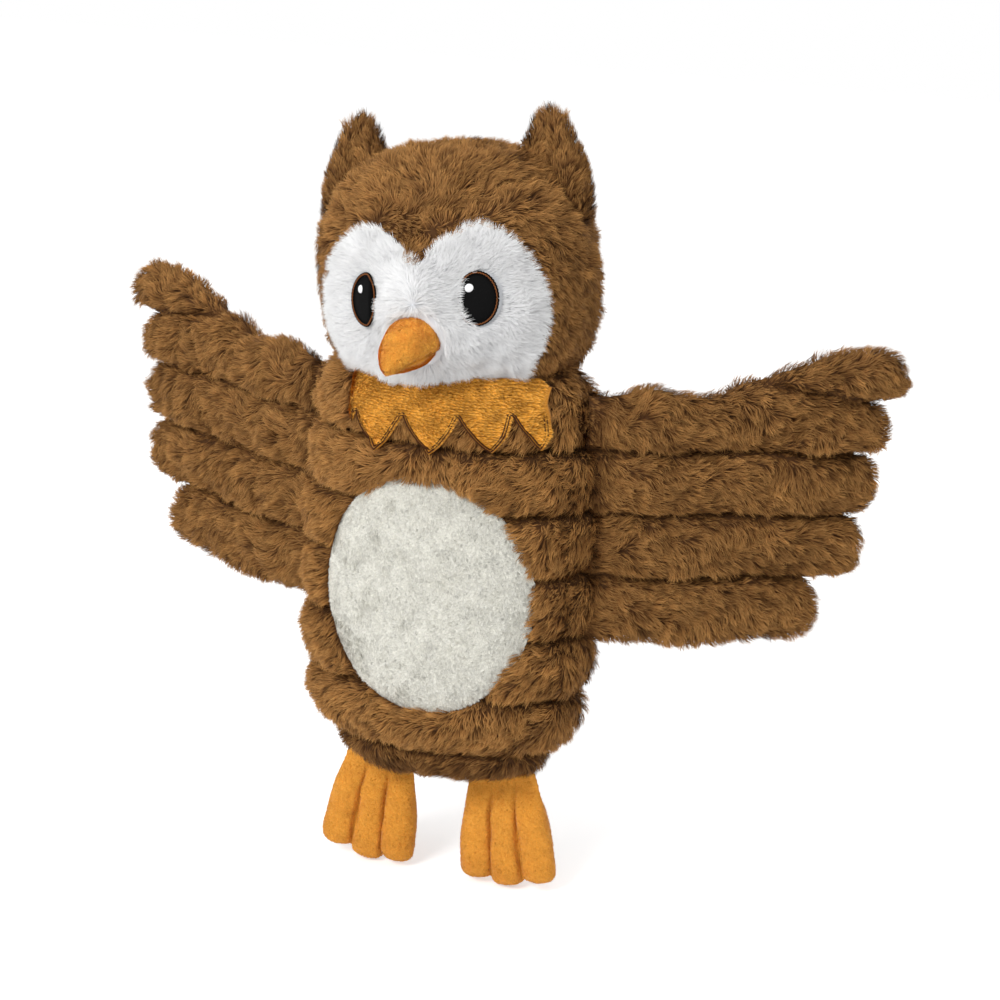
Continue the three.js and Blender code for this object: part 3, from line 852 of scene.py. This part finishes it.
def make_collar():
    columns, rows = 260, 26
    across = np.linspace(-1, 1, columns) * collar_half()
    x, share = np.meshgrid(across, np.linspace(0, 1, rows), indexing="xy")
    x, share = x.ravel() + COLLAR_ASIDE, share.ravel()
    z = mix(collar_top(x), collar_edge(x), share)
    x = COLLAR_ASIDE + (x - COLLAR_ASIDE) * collar_narrowing(z)
    front = collar_point(x, z, COLLAR_FACE_LIFT - 0.8 * share ** 12)
    back = collar_point(x, z, COLLAR_BACK_LIFT)
    faces = sheet_faces(rows, columns, False)
    count = len(front)
    rim = np.concatenate([
        np.arange(columns),
        np.arange(2, rows) * columns - 1,
        np.arange(count - 1, count - columns - 1, -1),
        np.arange(rows - 2, 0, -1) * columns,
    ])
    following = np.roll(rim, -1)
    wall = np.concatenate([
        np.stack([rim, following, rim + count], -1),
        np.stack([following, following + count, rim + count], -1),
    ])
    surface = np.concatenate([front, back]), np.concatenate([faces, faces[:, ::-1] + count, wall])
    collar = make_piece("collar_cloth", surface, TORSO_PLACE, COLLAR_NAP, "torso")
    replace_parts(collar, "collar")
    comb = lambda p, n: directions(p, 1, 0, 0.15 * ripple(p, 12, 53))
    # by_height paints light on the collar's points and painted shade on its top under the chin
    by_height = lambda p: mix(0.85, 0.4, smooth((p[:, 2] - NECK_HEIGHT + 20) / 18))
    stripes = lambda p: 0.22 * np.sin(6.2 * p[:, 2] + 1.5 * ripple(p, 16, 55))
    grow_pile("collar_nap", (front, faces), TORSO_PLACE, COLLAR_FUZZ, "torso", "orange_nap", 54, 1000, comb,
              length=2.4 * NAP_LENGTH, lean=0.96, tuft=4, pull=0.4, wild=0.06, scatter=0.35, grain=0.16,
              keep=lambda p: collar_inside(p) > 1.9,
              shade=lambda p: by_height(p) + stripes(p) + 0.14 * ripple(p, 8, 56))
    for k, inset in enumerate(STITCHING_INSETS):
        x = np.linspace(-1, 1, 700) * (collar_half() - inset) + COLLAR_ASIDE
        aside = np.linspace(-inset, inset, 41)
        z = (collar_edge(x[:, None] + aside) + np.sqrt(inset ** 2 - aside ** 2)).max(axis=1)
        x = COLLAR_ASIDE + (x - COLLAR_ASIDE) * collar_narrowing(z)
        cord = tube(collar_point(x, z, STITCHING_LIFT), STITCHING_RADIUS, 8)
        make_piece(f"collar_stitching_{k + 1}", cord, TORSO_PLACE, BROWN_THREAD, "torso")


def tube(line, radius, sides):
    """A round cord along a line of points, with closed ends."""
    run = unit(np.gradient(line, axis=0))
    across = unit(np.cross(run, [0, -1.0, 0.3]))
    other = np.cross(across, run)
    turn = np.arange(sides) / sides * 2 * np.pi
    swell = np.ones(len(line))
    swell[[0, -1]] = 0.01
    rings = line[:, None] + radius * swell[:, None, None] * (
        across[:, None] * np.cos(turn)[None, :, None] + other[:, None] * np.sin(turn)[None, :, None]
    )
    return rings.reshape(-1, 3), sheet_faces(len(line), sides, True)


# Head

def muzzle(spots):
    """How far the head swells forward about the beak, at points of its plain rounded form."""
    x, y, z = spots[..., 0], spots[..., 1], spots[..., 2] - HEAD_RISE
    fade = np.exp(-((x / MUZZLE_HALF_WIDTH) ** 2) - ((z + MUZZLE_DROP) / MUZZLE_HALF_HEIGHT) ** 2)
    return MUZZLE_REACH * fade * smooth(-y / HEAD_HALF[1])


def head_at(points, grow=0.0):
    """Unit points moved onto the head, in the head's frame."""
    reach = (np.abs(points) ** HEAD_SQUARE).sum(axis=-1, keepdims=True) ** (1 / HEAD_SQUARE)
    spots = points / reach * (HEAD_HALF + grow) + (0, 0, HEAD_RISE)
    spots[..., 1] -= muzzle(spots)
    return spots


def head_front_at(x, z, grow=0.0):
    """Points of the head's front at given x and z."""
    half = HEAD_HALF + grow
    left = 1 - np.abs(x / half[0]) ** HEAD_SQUARE - np.abs((z - HEAD_RISE) / half[2]) ** HEAD_SQUARE
    spots = np.stack([x, -half[1] * np.maximum(left, 0) ** (1 / HEAD_SQUARE), z], -1)
    spots[..., 1] -= muzzle(spots)
    return spots


def head_reach(points, grow=0.0):
    """How far out a point is in the head: 1 on its surface."""
    off = (points - (0, 0, HEAD_RISE)) / (HEAD_HALF + grow)
    return (np.abs(off) ** HEAD_SQUARE).sum(axis=-1) ** (1 / HEAD_SQUARE)


def bezier(start, one, two, end, steps=14):
    t = np.linspace(0, 1, steps, endpoint=False)[:, None]
    a, b, c, d = (np.array(p, float) for p in (start, one, two, end))
    return a * (1 - t) ** 3 + 3 * b * t * (1 - t) ** 2 + 3 * c * t * t * (1 - t) + d * t ** 3


def face_outline():
    """The heart-like outline of the face panel in x and z of the head."""
    w, low, notch = FACE_HALF_WIDTH, HEAD_RISE - FACE_BOTTOM, HEAD_RISE + FACE_NOTCH
    top, cheek = HEAD_RISE + FACE_TOP, HEAD_RISE - FACE_CHEEK
    right = np.concatenate([
        bezier((0, notch), (w * 0.2, (notch + top) / 2), (w * 0.3, top), (w * 0.47, top)),
        bezier((w * 0.47, top), (w * 0.8, top), (w, HEAD_RISE), (w, cheek)),
        bezier((w, cheek), (w, (cheek + low) / 2), (w * 0.66, low + 1), (w * 0.34, low)),
        [(w * 0.34, low)],
    ])
    return np.concatenate([right, right[::-1] * (-1, 1)])


def signed_reach(points, outline):
    """The distance in x and z to an outline, positive outside it."""
    p = points[:, None, [0, 2]]
    a, b = outline[None], np.roll(outline, -1, axis=0)[None]
    ab = b - a
    t = np.clip(((p - a) * ab).sum(-1) / np.maximum((ab ** 2).sum(-1), 1e-9), 0, 1)
    distance = np.linalg.norm(p - a - ab * t[..., None], axis=-1).min(axis=1)
    rise = np.where(ab[..., 1] == 0, 1e-9, ab[..., 1])
    spans = (a[..., 1] > p[..., 1]) != (b[..., 1] > p[..., 1])
    crosses = spans & (p[..., 0] < ab[..., 0] * (p[..., 1] - a[..., 1]) / rise + a[..., 0])
    return np.where(crosses.sum(axis=1) % 2 == 1, -distance, distance)


def face_reach(points):
    """How far outside the face panel a point of the head is. The back of the head is far outside."""
    return np.where(points[:, 1] < 0, signed_reach(points, face_outline()), 40.0)


def head_comb(points, normals):
    """Pile of the hood runs back from the face and down the sides."""
    aside = 0.3 * np.clip(points[:, 0] / 25, -1, 1) + 0.35 * ripple(points, 30, 61)
    return directions(points, aside, 0.9, -0.9 + 1.1 * smooth((points[:, 2] - HEAD_RISE) / 40))


def face_comb(points, normals):
    """Pile of the face spreads out from the beak."""
    aside = points[:, 0] / 30 + 0.1 * ripple(points, 30, 62)
    return directions(points, aside, 0, (points[:, 2] - HEAD_RISE + BEAK_DROP - 8) / 30 - 0.12)


def eye_reach(points):
    """How far out a point is in the nearer eye: 1 on the rim's edge."""
    return np.hypot(
        (np.abs(points[:, 0]) - EYE_SPREAD) / EYE_HALF_WIDTH,
        (points[:, 2] - HEAD_RISE + EYE_DROP) / EYE_HALF_HEIGHT,
    )


def make_head():
    def skin_place(points):
        spots = head_at(points, -PILE_DEPTH)
        uneven = lumps(spots, 71, (0.6, 24), (0.25, 9))
        spots[:, 1] += EYE_HOLLOW * np.exp(-(eye_reach(spots) / 1.6) ** 4) * (spots[:, 1] < 0)
        return spots + points * uneven[:, None]

    skin = ball(220, 150, skin_place)
    above_neck = lambda p: moved(p, TORSO_PLACE.inverted() @ HEAD_PLACE)[:, 2] > NECK_HEIGHT - 1.5
    hood = part_of(skin, lambda p: (face_reach(p) >= 0) & above_neck(p))
    face = part_of(skin, lambda p: (face_reach(p) < 0) & above_neck(p))
    make_furred("head_hood", ["head_hood", "head_filling"], hood, HEAD_PLACE, SHADED_BROWN_BACKING, BROWN_PILE,
                "head", "brown_pile", 0.8, seed=80, density=345, comb=head_comb, wild=0.42,
                length=lambda p: PILE_LENGTH * mix(0.6, 1.05, smooth(face_reach(p) / 12)),
                keep=lambda p: face_reach(p) > 0.4, shade=lambda p: 0.46)

    # The face's pile is longer below the beak, shorter beside the eyes and grows over their inner sides
    inner = lambda p: smooth((EYE_SPREAD - np.abs(p[:, 0])) / 3)
    grown = lambda p: np.where(p[:, 0] > 0, EYE_OVERGROWN["left"], EYE_OVERGROWN["right"])
    off_eyes = lambda p: eye_reach(p) > mix(1.02, grown(p), inner(p))
    off_beak = lambda p: np.hypot(p[:, 0] / 9.5, (p[:, 2] - HEAD_RISE + BEAK_DROP) / 9.5) > 1
    by_eye = lambda p: mix(mix(0.6, 0.95, inner(p)), 1, smooth((eye_reach(p) - 1) / 0.6))
    by_height = lambda p: mix(1, 1.4, smooth((HEAD_RISE - 26 - p[:, 2]) / 12))
    make_furred("face_panel", ["face_panel"], face, HEAD_PLACE, WHITE_BACKING, WHITE_PILE, "head",
                "white_pile", 0.8, seed=90, density=1300, comb=face_comb,
                keep=lambda p: off_eyes(p) & off_beak(p),
                length=lambda p: FACE_PILE_LENGTH * by_eye(p) * by_height(p),
                lean=0.86, tuft=7, pull=0.22, wild=0.28, width=0.19, scatter=0.07, arch=0.08)


def make_eye(hand, side):
    """One embroidered eye: a domed oval of satin stitches, a stitched rim and a small highlight."""
    cx, cz = side * EYE_SPREAD, HEAD_RISE - EYE_DROP
    inward = lambda aside: np.where(aside * side < 0, EYE_OVERGROWN[hand] * aside, aside)
    inner_share = lambda x: side * (cx - x) / EYE_HALF_WIDTH / EYE_OVERGROWN[hand]
    tuck = lambda x: EYE_SINK + EYE_TUCK * smooth((inner_share(x) - 0.4) / 0.6)

    def dome(x0, z0, half_x, half_z, base, crown, rows, columns, flat=2.0):
        around = np.arange(columns) / columns * 2 * np.pi
        reach, turn = np.meshgrid(np.linspace(0, 1, rows), around, indexing="ij")
        reach, turn = reach.ravel(), turn.ravel()
        x, z = x0 + half_x * reach * inward(np.cos(turn)), z0 + half_z * reach * np.sin(turn)
        points = head_front_at(x, z, base)
        points[:, 1] += tuck(x)
        points[:, 1] -= crown * np.maximum(0, 1 - reach ** flat) ** 0.5
        return points, sheet_faces(rows, columns, True)

    def stitched(part, surface, thread):
        return make_piece(f"{part}_{hand}_stitching", surface, HEAD_PLACE, thread, "head")

    inner_x, inner_z = EYE_HALF_WIDTH - EYE_RIM, EYE_HALF_HEIGHT - EYE_RIM
    oval = dome(cx, cz, inner_x + 0.3, inner_z + 0.3, -0.6, EYE_CROWN, 22, 72, 3.0)
    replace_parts(stitched("eye", oval, BLACK_THREAD), f"eye_{hand}")
    turn = np.linspace(0, 2 * np.pi, 361)
    wobble = 1 + 0.012 * np.sin(turn * 46)
    line = head_front_at(
        cx + (EYE_HALF_WIDTH - EYE_RIM / 2) * inward(np.cos(turn)) * wobble,
        cz + (EYE_HALF_HEIGHT - EYE_RIM / 2) * np.sin(turn) * wobble,
        -0.1,
    )
    line[:, 1] += tuck(line[:, 0])
    rim = stitched("eye_rim", tube(line, EYE_RIM_CORD, 10), BLACK_THREAD)
    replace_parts(rim, f"eye_rim_{hand}")
    line[:, 1] -= EYE_LINE_LIFT
    stitched("eye_line", tube(line, EYE_LINE_CORD, 8), RIM_THREAD)
    dot = dome(cx - GLINT_SHIFT, cz + GLINT_RISE, GLINT_RADIUS, GLINT_RADIUS, 0.2, GLINT_CROWN, 8, 36)
    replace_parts(stitched("eye_glint", dot, WHITE_THREAD), f"eye_glint_{hand}")


def make_beak():
    def place(points):
        share = (1 + points[:, 2]) / 2
        taper = 1 - BEAK_TAPER * share
        wide = BEAK_HALF_WIDTH * taper
        tall = BEAK_HALF_HEIGHT * taper
        spots = np.stack([
            points[:, 0] * wide - BEAK_ASIDE * share,
            -HEAD_HALF[1] - MUZZLE_REACH + BEAK_SINK - share * (BEAK_REACH + BEAK_SINK),
            HEAD_RISE - BEAK_DROP + points[:, 1] * tall - BEAK_DROOP * share * share,
        ], -1)
        seam = np.exp(-(((points[:, 1] + 0.42) / 0.06) ** 2))
        return spots + points * (0.15 * ripple(spots, 9, 101) - 1.0 * seam)[:, None] * (1, 0, 1)

    surface = ball(96, 64, place)
    lit = lambda p: mix(0.42, 0.62, smooth((p[:, 2] - HEAD_RISE + BEAK_DROP + 12) / 14))
    make_furred("beak", ["beak", "beak_filling"], surface, HEAD_PLACE, ORANGE_NAP, BEAK_FUZZ, "head",
                "orange_nap", 0.8, "nap", seed=104, density=1500, length=0.9 * NAP_LENGTH, lean=0.82, tuft=4,
                pull=0.2, wild=0.4, width=0.2, scatter=0.35, grain=0.2,
                comb=lambda p, n: directions(p, 0.2 * ripple(p, 12, 102), -1, -0.2 + 0.3 * ripple(p, 9, 103)),
                shade=lambda p: lit(p) + 0.1 * ripple(p, 6, 105), keep=lambda p: p[:, 1] < -HEAD_HALF[1] - 2)


def make_ear(hand, place):
    def ear_place(points):
        taper = 1 - EAR_TAPER * points[:, 2]
        half_x, half_y, half_z = (h - PILE_DEPTH for h in EAR_HALF)
        spots = np.stack([
            EAR_SPREAD + points[:, 0] * half_x * taper,
            points[:, 1] * half_y * taper,
            HEAD_RISE + EAR_RISE + points[:, 2] * half_z,
        ], -1)
        spots[:, 1] += EAR_FOLD * np.exp(-((points[:, 0] / 0.35) ** 2)) * (points[:, 1] < 0) * -points[:, 1]
        return spots

    surface = ball(80, 60, ear_place)
    shown = part_of(surface, lambda p: head_reach(p, -PILE_DEPTH - 2) > 1)
    tip = lambda p: smooth((p[:, 2] - HEAD_RISE - EAR_RISE - 14) / 12)
    make_furred(f"ear_{hand}", [f"ear_{hand}"], shown, place, SHADED_BROWN_BACKING, BROWN_PILE, "head", "brown_pile",
                0.6, seed=110, density=540, lean=0.74, keep=lambda p: head_reach(p, -1) > 1,
                comb=lambda p, n: directions(p, 0.2 * ripple(p, 30, 112), 0.2, 1.0),
                shade=lambda p: 0.3, length=lambda p: PILE_LENGTH * mix(0.75, 1.3, tip(p)))


# Wings

def feather(root, reach, middle, half_height, lift, inset, around=40, along=60):
    """One stuffed channel of a wing, as far inside its outer form as inset says."""
    centre, half = (root + reach) / 2, (reach - root) / 2 - inset

    def place(points):
        x = centre + half * points[:, 2]
        out = np.maximum(np.hypot(points[:, 0], points[:, 1]), 1e-9)
        end = roundness(points[:, 2], 5)
        thick = mix(SKIN_ROOT_HALF_THICKNESS, WING_HALF_THICKNESS - inset, smooth(x / SKIN_ROOT_TAPER)) * end
        return np.stack([
            x,
            points[:, 1] / out * thick,
            middle + lift(x) - points[:, 0] / out * (half_height - inset * 0.35) * end,
        ], -1)

    return ball(around, along, place)


def wing_seams():
    return [FIRST_WING_SEAM - k * CHANNEL_PITCH for k in range(3)]


def wing_skin():
    first = FIRST_WING_SEAM + FIRST_FEATHER_HALF_HEIGHT - WING_SEAM_OVERLAP
    bend, level = TOP_FEATHER_BENDS
    top_lift = TOP_FEATHER_HALF_HEIGHT + FIRST_FEATHER_HALF_HEIGHT - TOP_FEATHER_LAP
    rise = lambda x: top_lift * smooth((x - bend) / (level - bend))
    straight = lambda x: 0 * x
    parts = [feather(TOP_FEATHER_ROOT, TOP_FEATHER_REACH, first, TOP_FEATHER_HALF_HEIGHT, rise, PILE_DEPTH)]
    for k, step in enumerate(FEATHER_STEPS):
        middle = first if k == 0 else FIRST_WING_SEAM + CHANNEL_PITCH * (0.5 - k)
        half_height = FIRST_FEATHER_HALF_HEIGHT if k == 0 else CHANNEL_PITCH / 2 + WING_SEAM_OVERLAP
        parts.append(feather(-WING_ROOT_TUCK, WING_REACH - step, middle, half_height, straight, PILE_DEPTH))
    points, faces = remeshed(parts, WING_VOXEL)
    points[:, 1] *= 1 - 0.5 * np.exp(-((wing_seam_off(points) / 1.5) ** 2))
    swell = lumps(points, 121, (0.8, 18), (0.35, 8)) * smooth(points[:, 0] / 25)
    points = points + normals_of(points, faces) * swell[:, None]
    points[:, 2] += 0.7 * ripple(points * (1, 0.2, 0.3), 45, 123)
    return points, faces


def wing_seam_off(points):
    """How far above the nearest seam of a wing a point is. The top seam starts partway out."""
    share = (points[:, 0] - TOP_SEAM[0]) / (TOP_SEAM[1] - TOP_SEAM[0])
    top = points[:, 2] - FIRST_WING_SEAM - 2 * FIRST_FEATHER_HALF_HEIGHT - mix(2.6, -2.5, share)
    top = np.where(share > 0, top, 50)
    return nearest_off(np.column_stack([points[:, 2][:, None] - np.array(wing_seams()), top]))


def wing_comb(points, normals):
    """Pile of the wings runs out along the channels and down."""
    off = wing_seam_off(points)
    down = (-0.6 + 0.6 * ripple(points, 20, 132)) * smooth(np.abs(off) / 5) + parting(off)
    return directions(points, 1.0 + 0.2 * ripple(points, 40, 131), 0, down)


def make_wing(hand, place, seed):
    skin = part_of(wing_skin(), lambda p: p[:, 0] > -SKIN_ROOT_TUCK)
    # Pile is shorter and darker at the wing's seams and at its root by the torso; the darkening is a painted
    # shade in those creases
    off_edge = lambda p, inset: nearest_off(np.stack([wing_seam_off(p), p[:, 0] + inset], -1))
    for face, front, density in (("front", True, 350), ("back", False, 190)):
        name = f"wing_{face}_{hand}"
        solids = [name, f"wing_filling_{hand}"] if front else [name]
        surface = part_of(skin, lambda p: (p[:, 1] < 0) == front)
        make_furred(name, solids, surface, place, SHADED_BROWN_BACKING, BROWN_PILE, f"wing_{hand}", "brown_pile",
                    0.6, seed=seed + front, density=density, comb=wing_comb,
                    length=lambda p: seam_length(off_edge(p, 8)),
                    shade=lambda p: seam_shade(off_edge(p, 6), 0.46))


# Feet

def toe_fan(z):
    """How much wider a foot is at a height than at its root."""
    return mix(1, TOE_FAN, np.clip(-z / FOOT_LENGTH, 0, 1))


def toe_seam_near(points):
    """How near a point of a foot is to the seam between two toes."""
    return np.abs(np.abs(points[:, 0]) - TOE_PITCH / 2 * toe_fan(points[:, 2]))


def toe(aside):
    """One stuffed toe, from the hem to its tip."""
    length = FOOT_LENGTH * (MIDDLE_TOE if aside == 0 else 1)
    centre, half = (FOOT_ROOT_TUCK - length) / 2, (FOOT_ROOT_TUCK + length) / 2 - NAP_DEPTH

    def place(points):
        z = centre + half * points[:, 2]
        out = np.maximum(np.hypot(points[:, 0], points[:, 1]), 1e-9)
        end = roundness(points[:, 2], 5)
        fan = toe_fan(z)
        thick = mix(FOOT_ROOT_HALF_THICKNESS, FOOT_HALF_THICKNESS, smooth(-z / FOOT_ROOT_TAPER)) - NAP_DEPTH
        return np.stack([
            aside * TOE_PITCH * fan + points[:, 0] / out * (TOE_HALF_WIDTH * fan - NAP_DEPTH) * end,
            points[:, 1] / out * np.maximum(thick, 0.6) * end,
            z,
        ], -1)

    return ball(48, 60, place)


def make_foot(hand, place, seed):
    points, faces = remeshed([toe(aside) for aside in (-1, 0, 1)], TOE_VOXEL)
    groove = np.exp(-((toe_seam_near(points) / 0.7) ** 2))
    points[:, 1] *= 1 - 0.5 * groove * smooth(-points[:, 2] / 5)
    points = points + normals_of(points, faces) * (0.25 * ripple(points, 20, 141))[:, None]
    # Nap darkens along the seams between the toes: a painted shade in those creases
    for face, front, density in (("front", True, 750), ("back", False, 420)):
        name = f"foot_{face}_{hand}"
        solids = [name, f"foot_filling_{hand}"] if front else [name]
        surface = part_of((points, faces), lambda p: (p[:, 1] < 0) == front)
        make_furred(name, solids, surface, place, ORANGE_NAP, ORANGE_FUZZ, f"foot_{hand}", "orange_nap", 0.7,
                    "nap", seed=seed + front, density=density, length=NAP_LENGTH, lean=0.93, tuft=4, pull=0.2,
                    wild=0.3, width=0.2, scatter=0.25, grain=0.14,
                    comb=lambda p, n: directions(p, p[:, 0] / 40 + 0.3 * ripple(p, 12, 143), 0, -1),
                    shade=lambda p: mix(0.2, 0.5, smooth(toe_seam_near(p) / 0.9)) + 0.07 * ripple(p, 7, 144))


# The owl

make_torso()
make_patch()
make_collar()
make_head()
make_beak()
for hand, side, flip in (("left", 1, Matrix.Identity(4)), ("right", -1, FLIP)):
    make_eye(hand, side)
    make_ear(hand, HEAD_PLACE @ flip)
    centred = Matrix.Translation(TORSO_PLACE.translation)
    mirror = centred @ flip @ centred.inverted()
    make_wing(hand, mirror @ WING_PLACE, 200 + side)
    make_foot(hand, mirror @ FOOT_PLACE, 300 + side)


# Light, floor and camera

def area_lamp(name, place, size, power):
    """A soft round lamp that points at the owl's middle."""
    light = bpy.data.lights.new(name, "AREA")
    light.shape, light.size, light.energy = "DISK", size, power
    lamp = placed(name, light)
    lamp.location = place
    lamp.rotation_euler = (LAMP_AIM - Vector(place)).to_track_quat("-Z", "Y").to_euler()


def make_world():
    """An even soft room, which shows pure white to the camera and in gloss."""
    world = bpy.data.worlds.new("studio")
    bpy.context.scene.world = world
    room = Nodes(world)
    seen, glossy, through = room.outputs("LightPath", "Is Camera Ray", "Is Glossy Ray", "Is Transmission Ray")
    shown = seen.maths("MAXIMUM", seen, glossy.maths("MAXIMUM", glossy, through))
    level = room.node("MapRange", {}, shown, **{"To Min": ROOM_LIGHT, "To Max": 1.0})
    background = room.tree.nodes["Background"]
    room.set(background.inputs["Strength"], level)
    room.set(background.inputs["Color"], (1, 1, 1, 1))


def make_floor(height):
    corners = FLOOR_HALF * np.array([[-1, -1, 0], [1, -1, 0], [1, 1, 0], [-1, 1, 0]], float)
    floor = placed("floor", make_mesh("floor", corners, np.array([[0, 1, 2, 3]])))
    floor.location.z = height
    finish = Finish("pale floor", Base_Color=(0.94, 0.94, 0.94, 1), Roughness=0.9, Specular_IOR_Level=0.0,
                    Emission_Color=(1, 1, 1, 1))
    seen, = finish.outputs("LightPath", "Is Camera Ray")
    finish.feed("Emission Strength", FLOOR_GLOW * seen)
    floor.data.materials.append(finish.material)


def make_camera():
    azimuth, elevation, roll = (math.radians(a) for a in (VIEW_AZIMUTH, VIEW_ELEVATION, VIEW_ROLL))
    aim = np.array([VIEW_ASIDE * math.cos(azimuth), VIEW_ASIDE * math.sin(azimuth), VIEW_RISE])
    level = math.cos(elevation)
    back = np.array([math.sin(azimuth) * level, -math.cos(azimuth) * level, math.sin(elevation)])
    right = np.array([math.cos(azimuth), math.sin(azimuth), 0])
    up = np.cross(back, right)
    rolled_right = right * math.cos(roll) + up * math.sin(roll)
    rolled_up = up * math.cos(roll) - right * math.sin(roll)
    data = bpy.data.cameras.new("camera")
    data.sensor_width, data.lens = SENSOR, VIEW_FOCUS_PIXELS / IMAGE_PIXELS * SENSOR
    camera = placed("camera", data)
    place = TORSO_PLACE @ Vector(aim + back * VIEW_DISTANCE)
    camera.matrix_world = Matrix([
        [rolled_right[k], rolled_up[k], back[k], place[k]] for k in range(3)
    ] + [[0, 0, 0, 1]])
    bpy.context.scene.camera = camera


make_world()
make_floor(cad_box[0][2] - FLOOR_GAP)
area_lamp("key", (-0.4, -1.15, 0.8), 0.6, 11.5)
area_lamp("top", (0.2, -0.2, 1.15), 0.8, 4.0)
make_camera()
bpy.context.scene.view_settings.view_transform = "Standard"
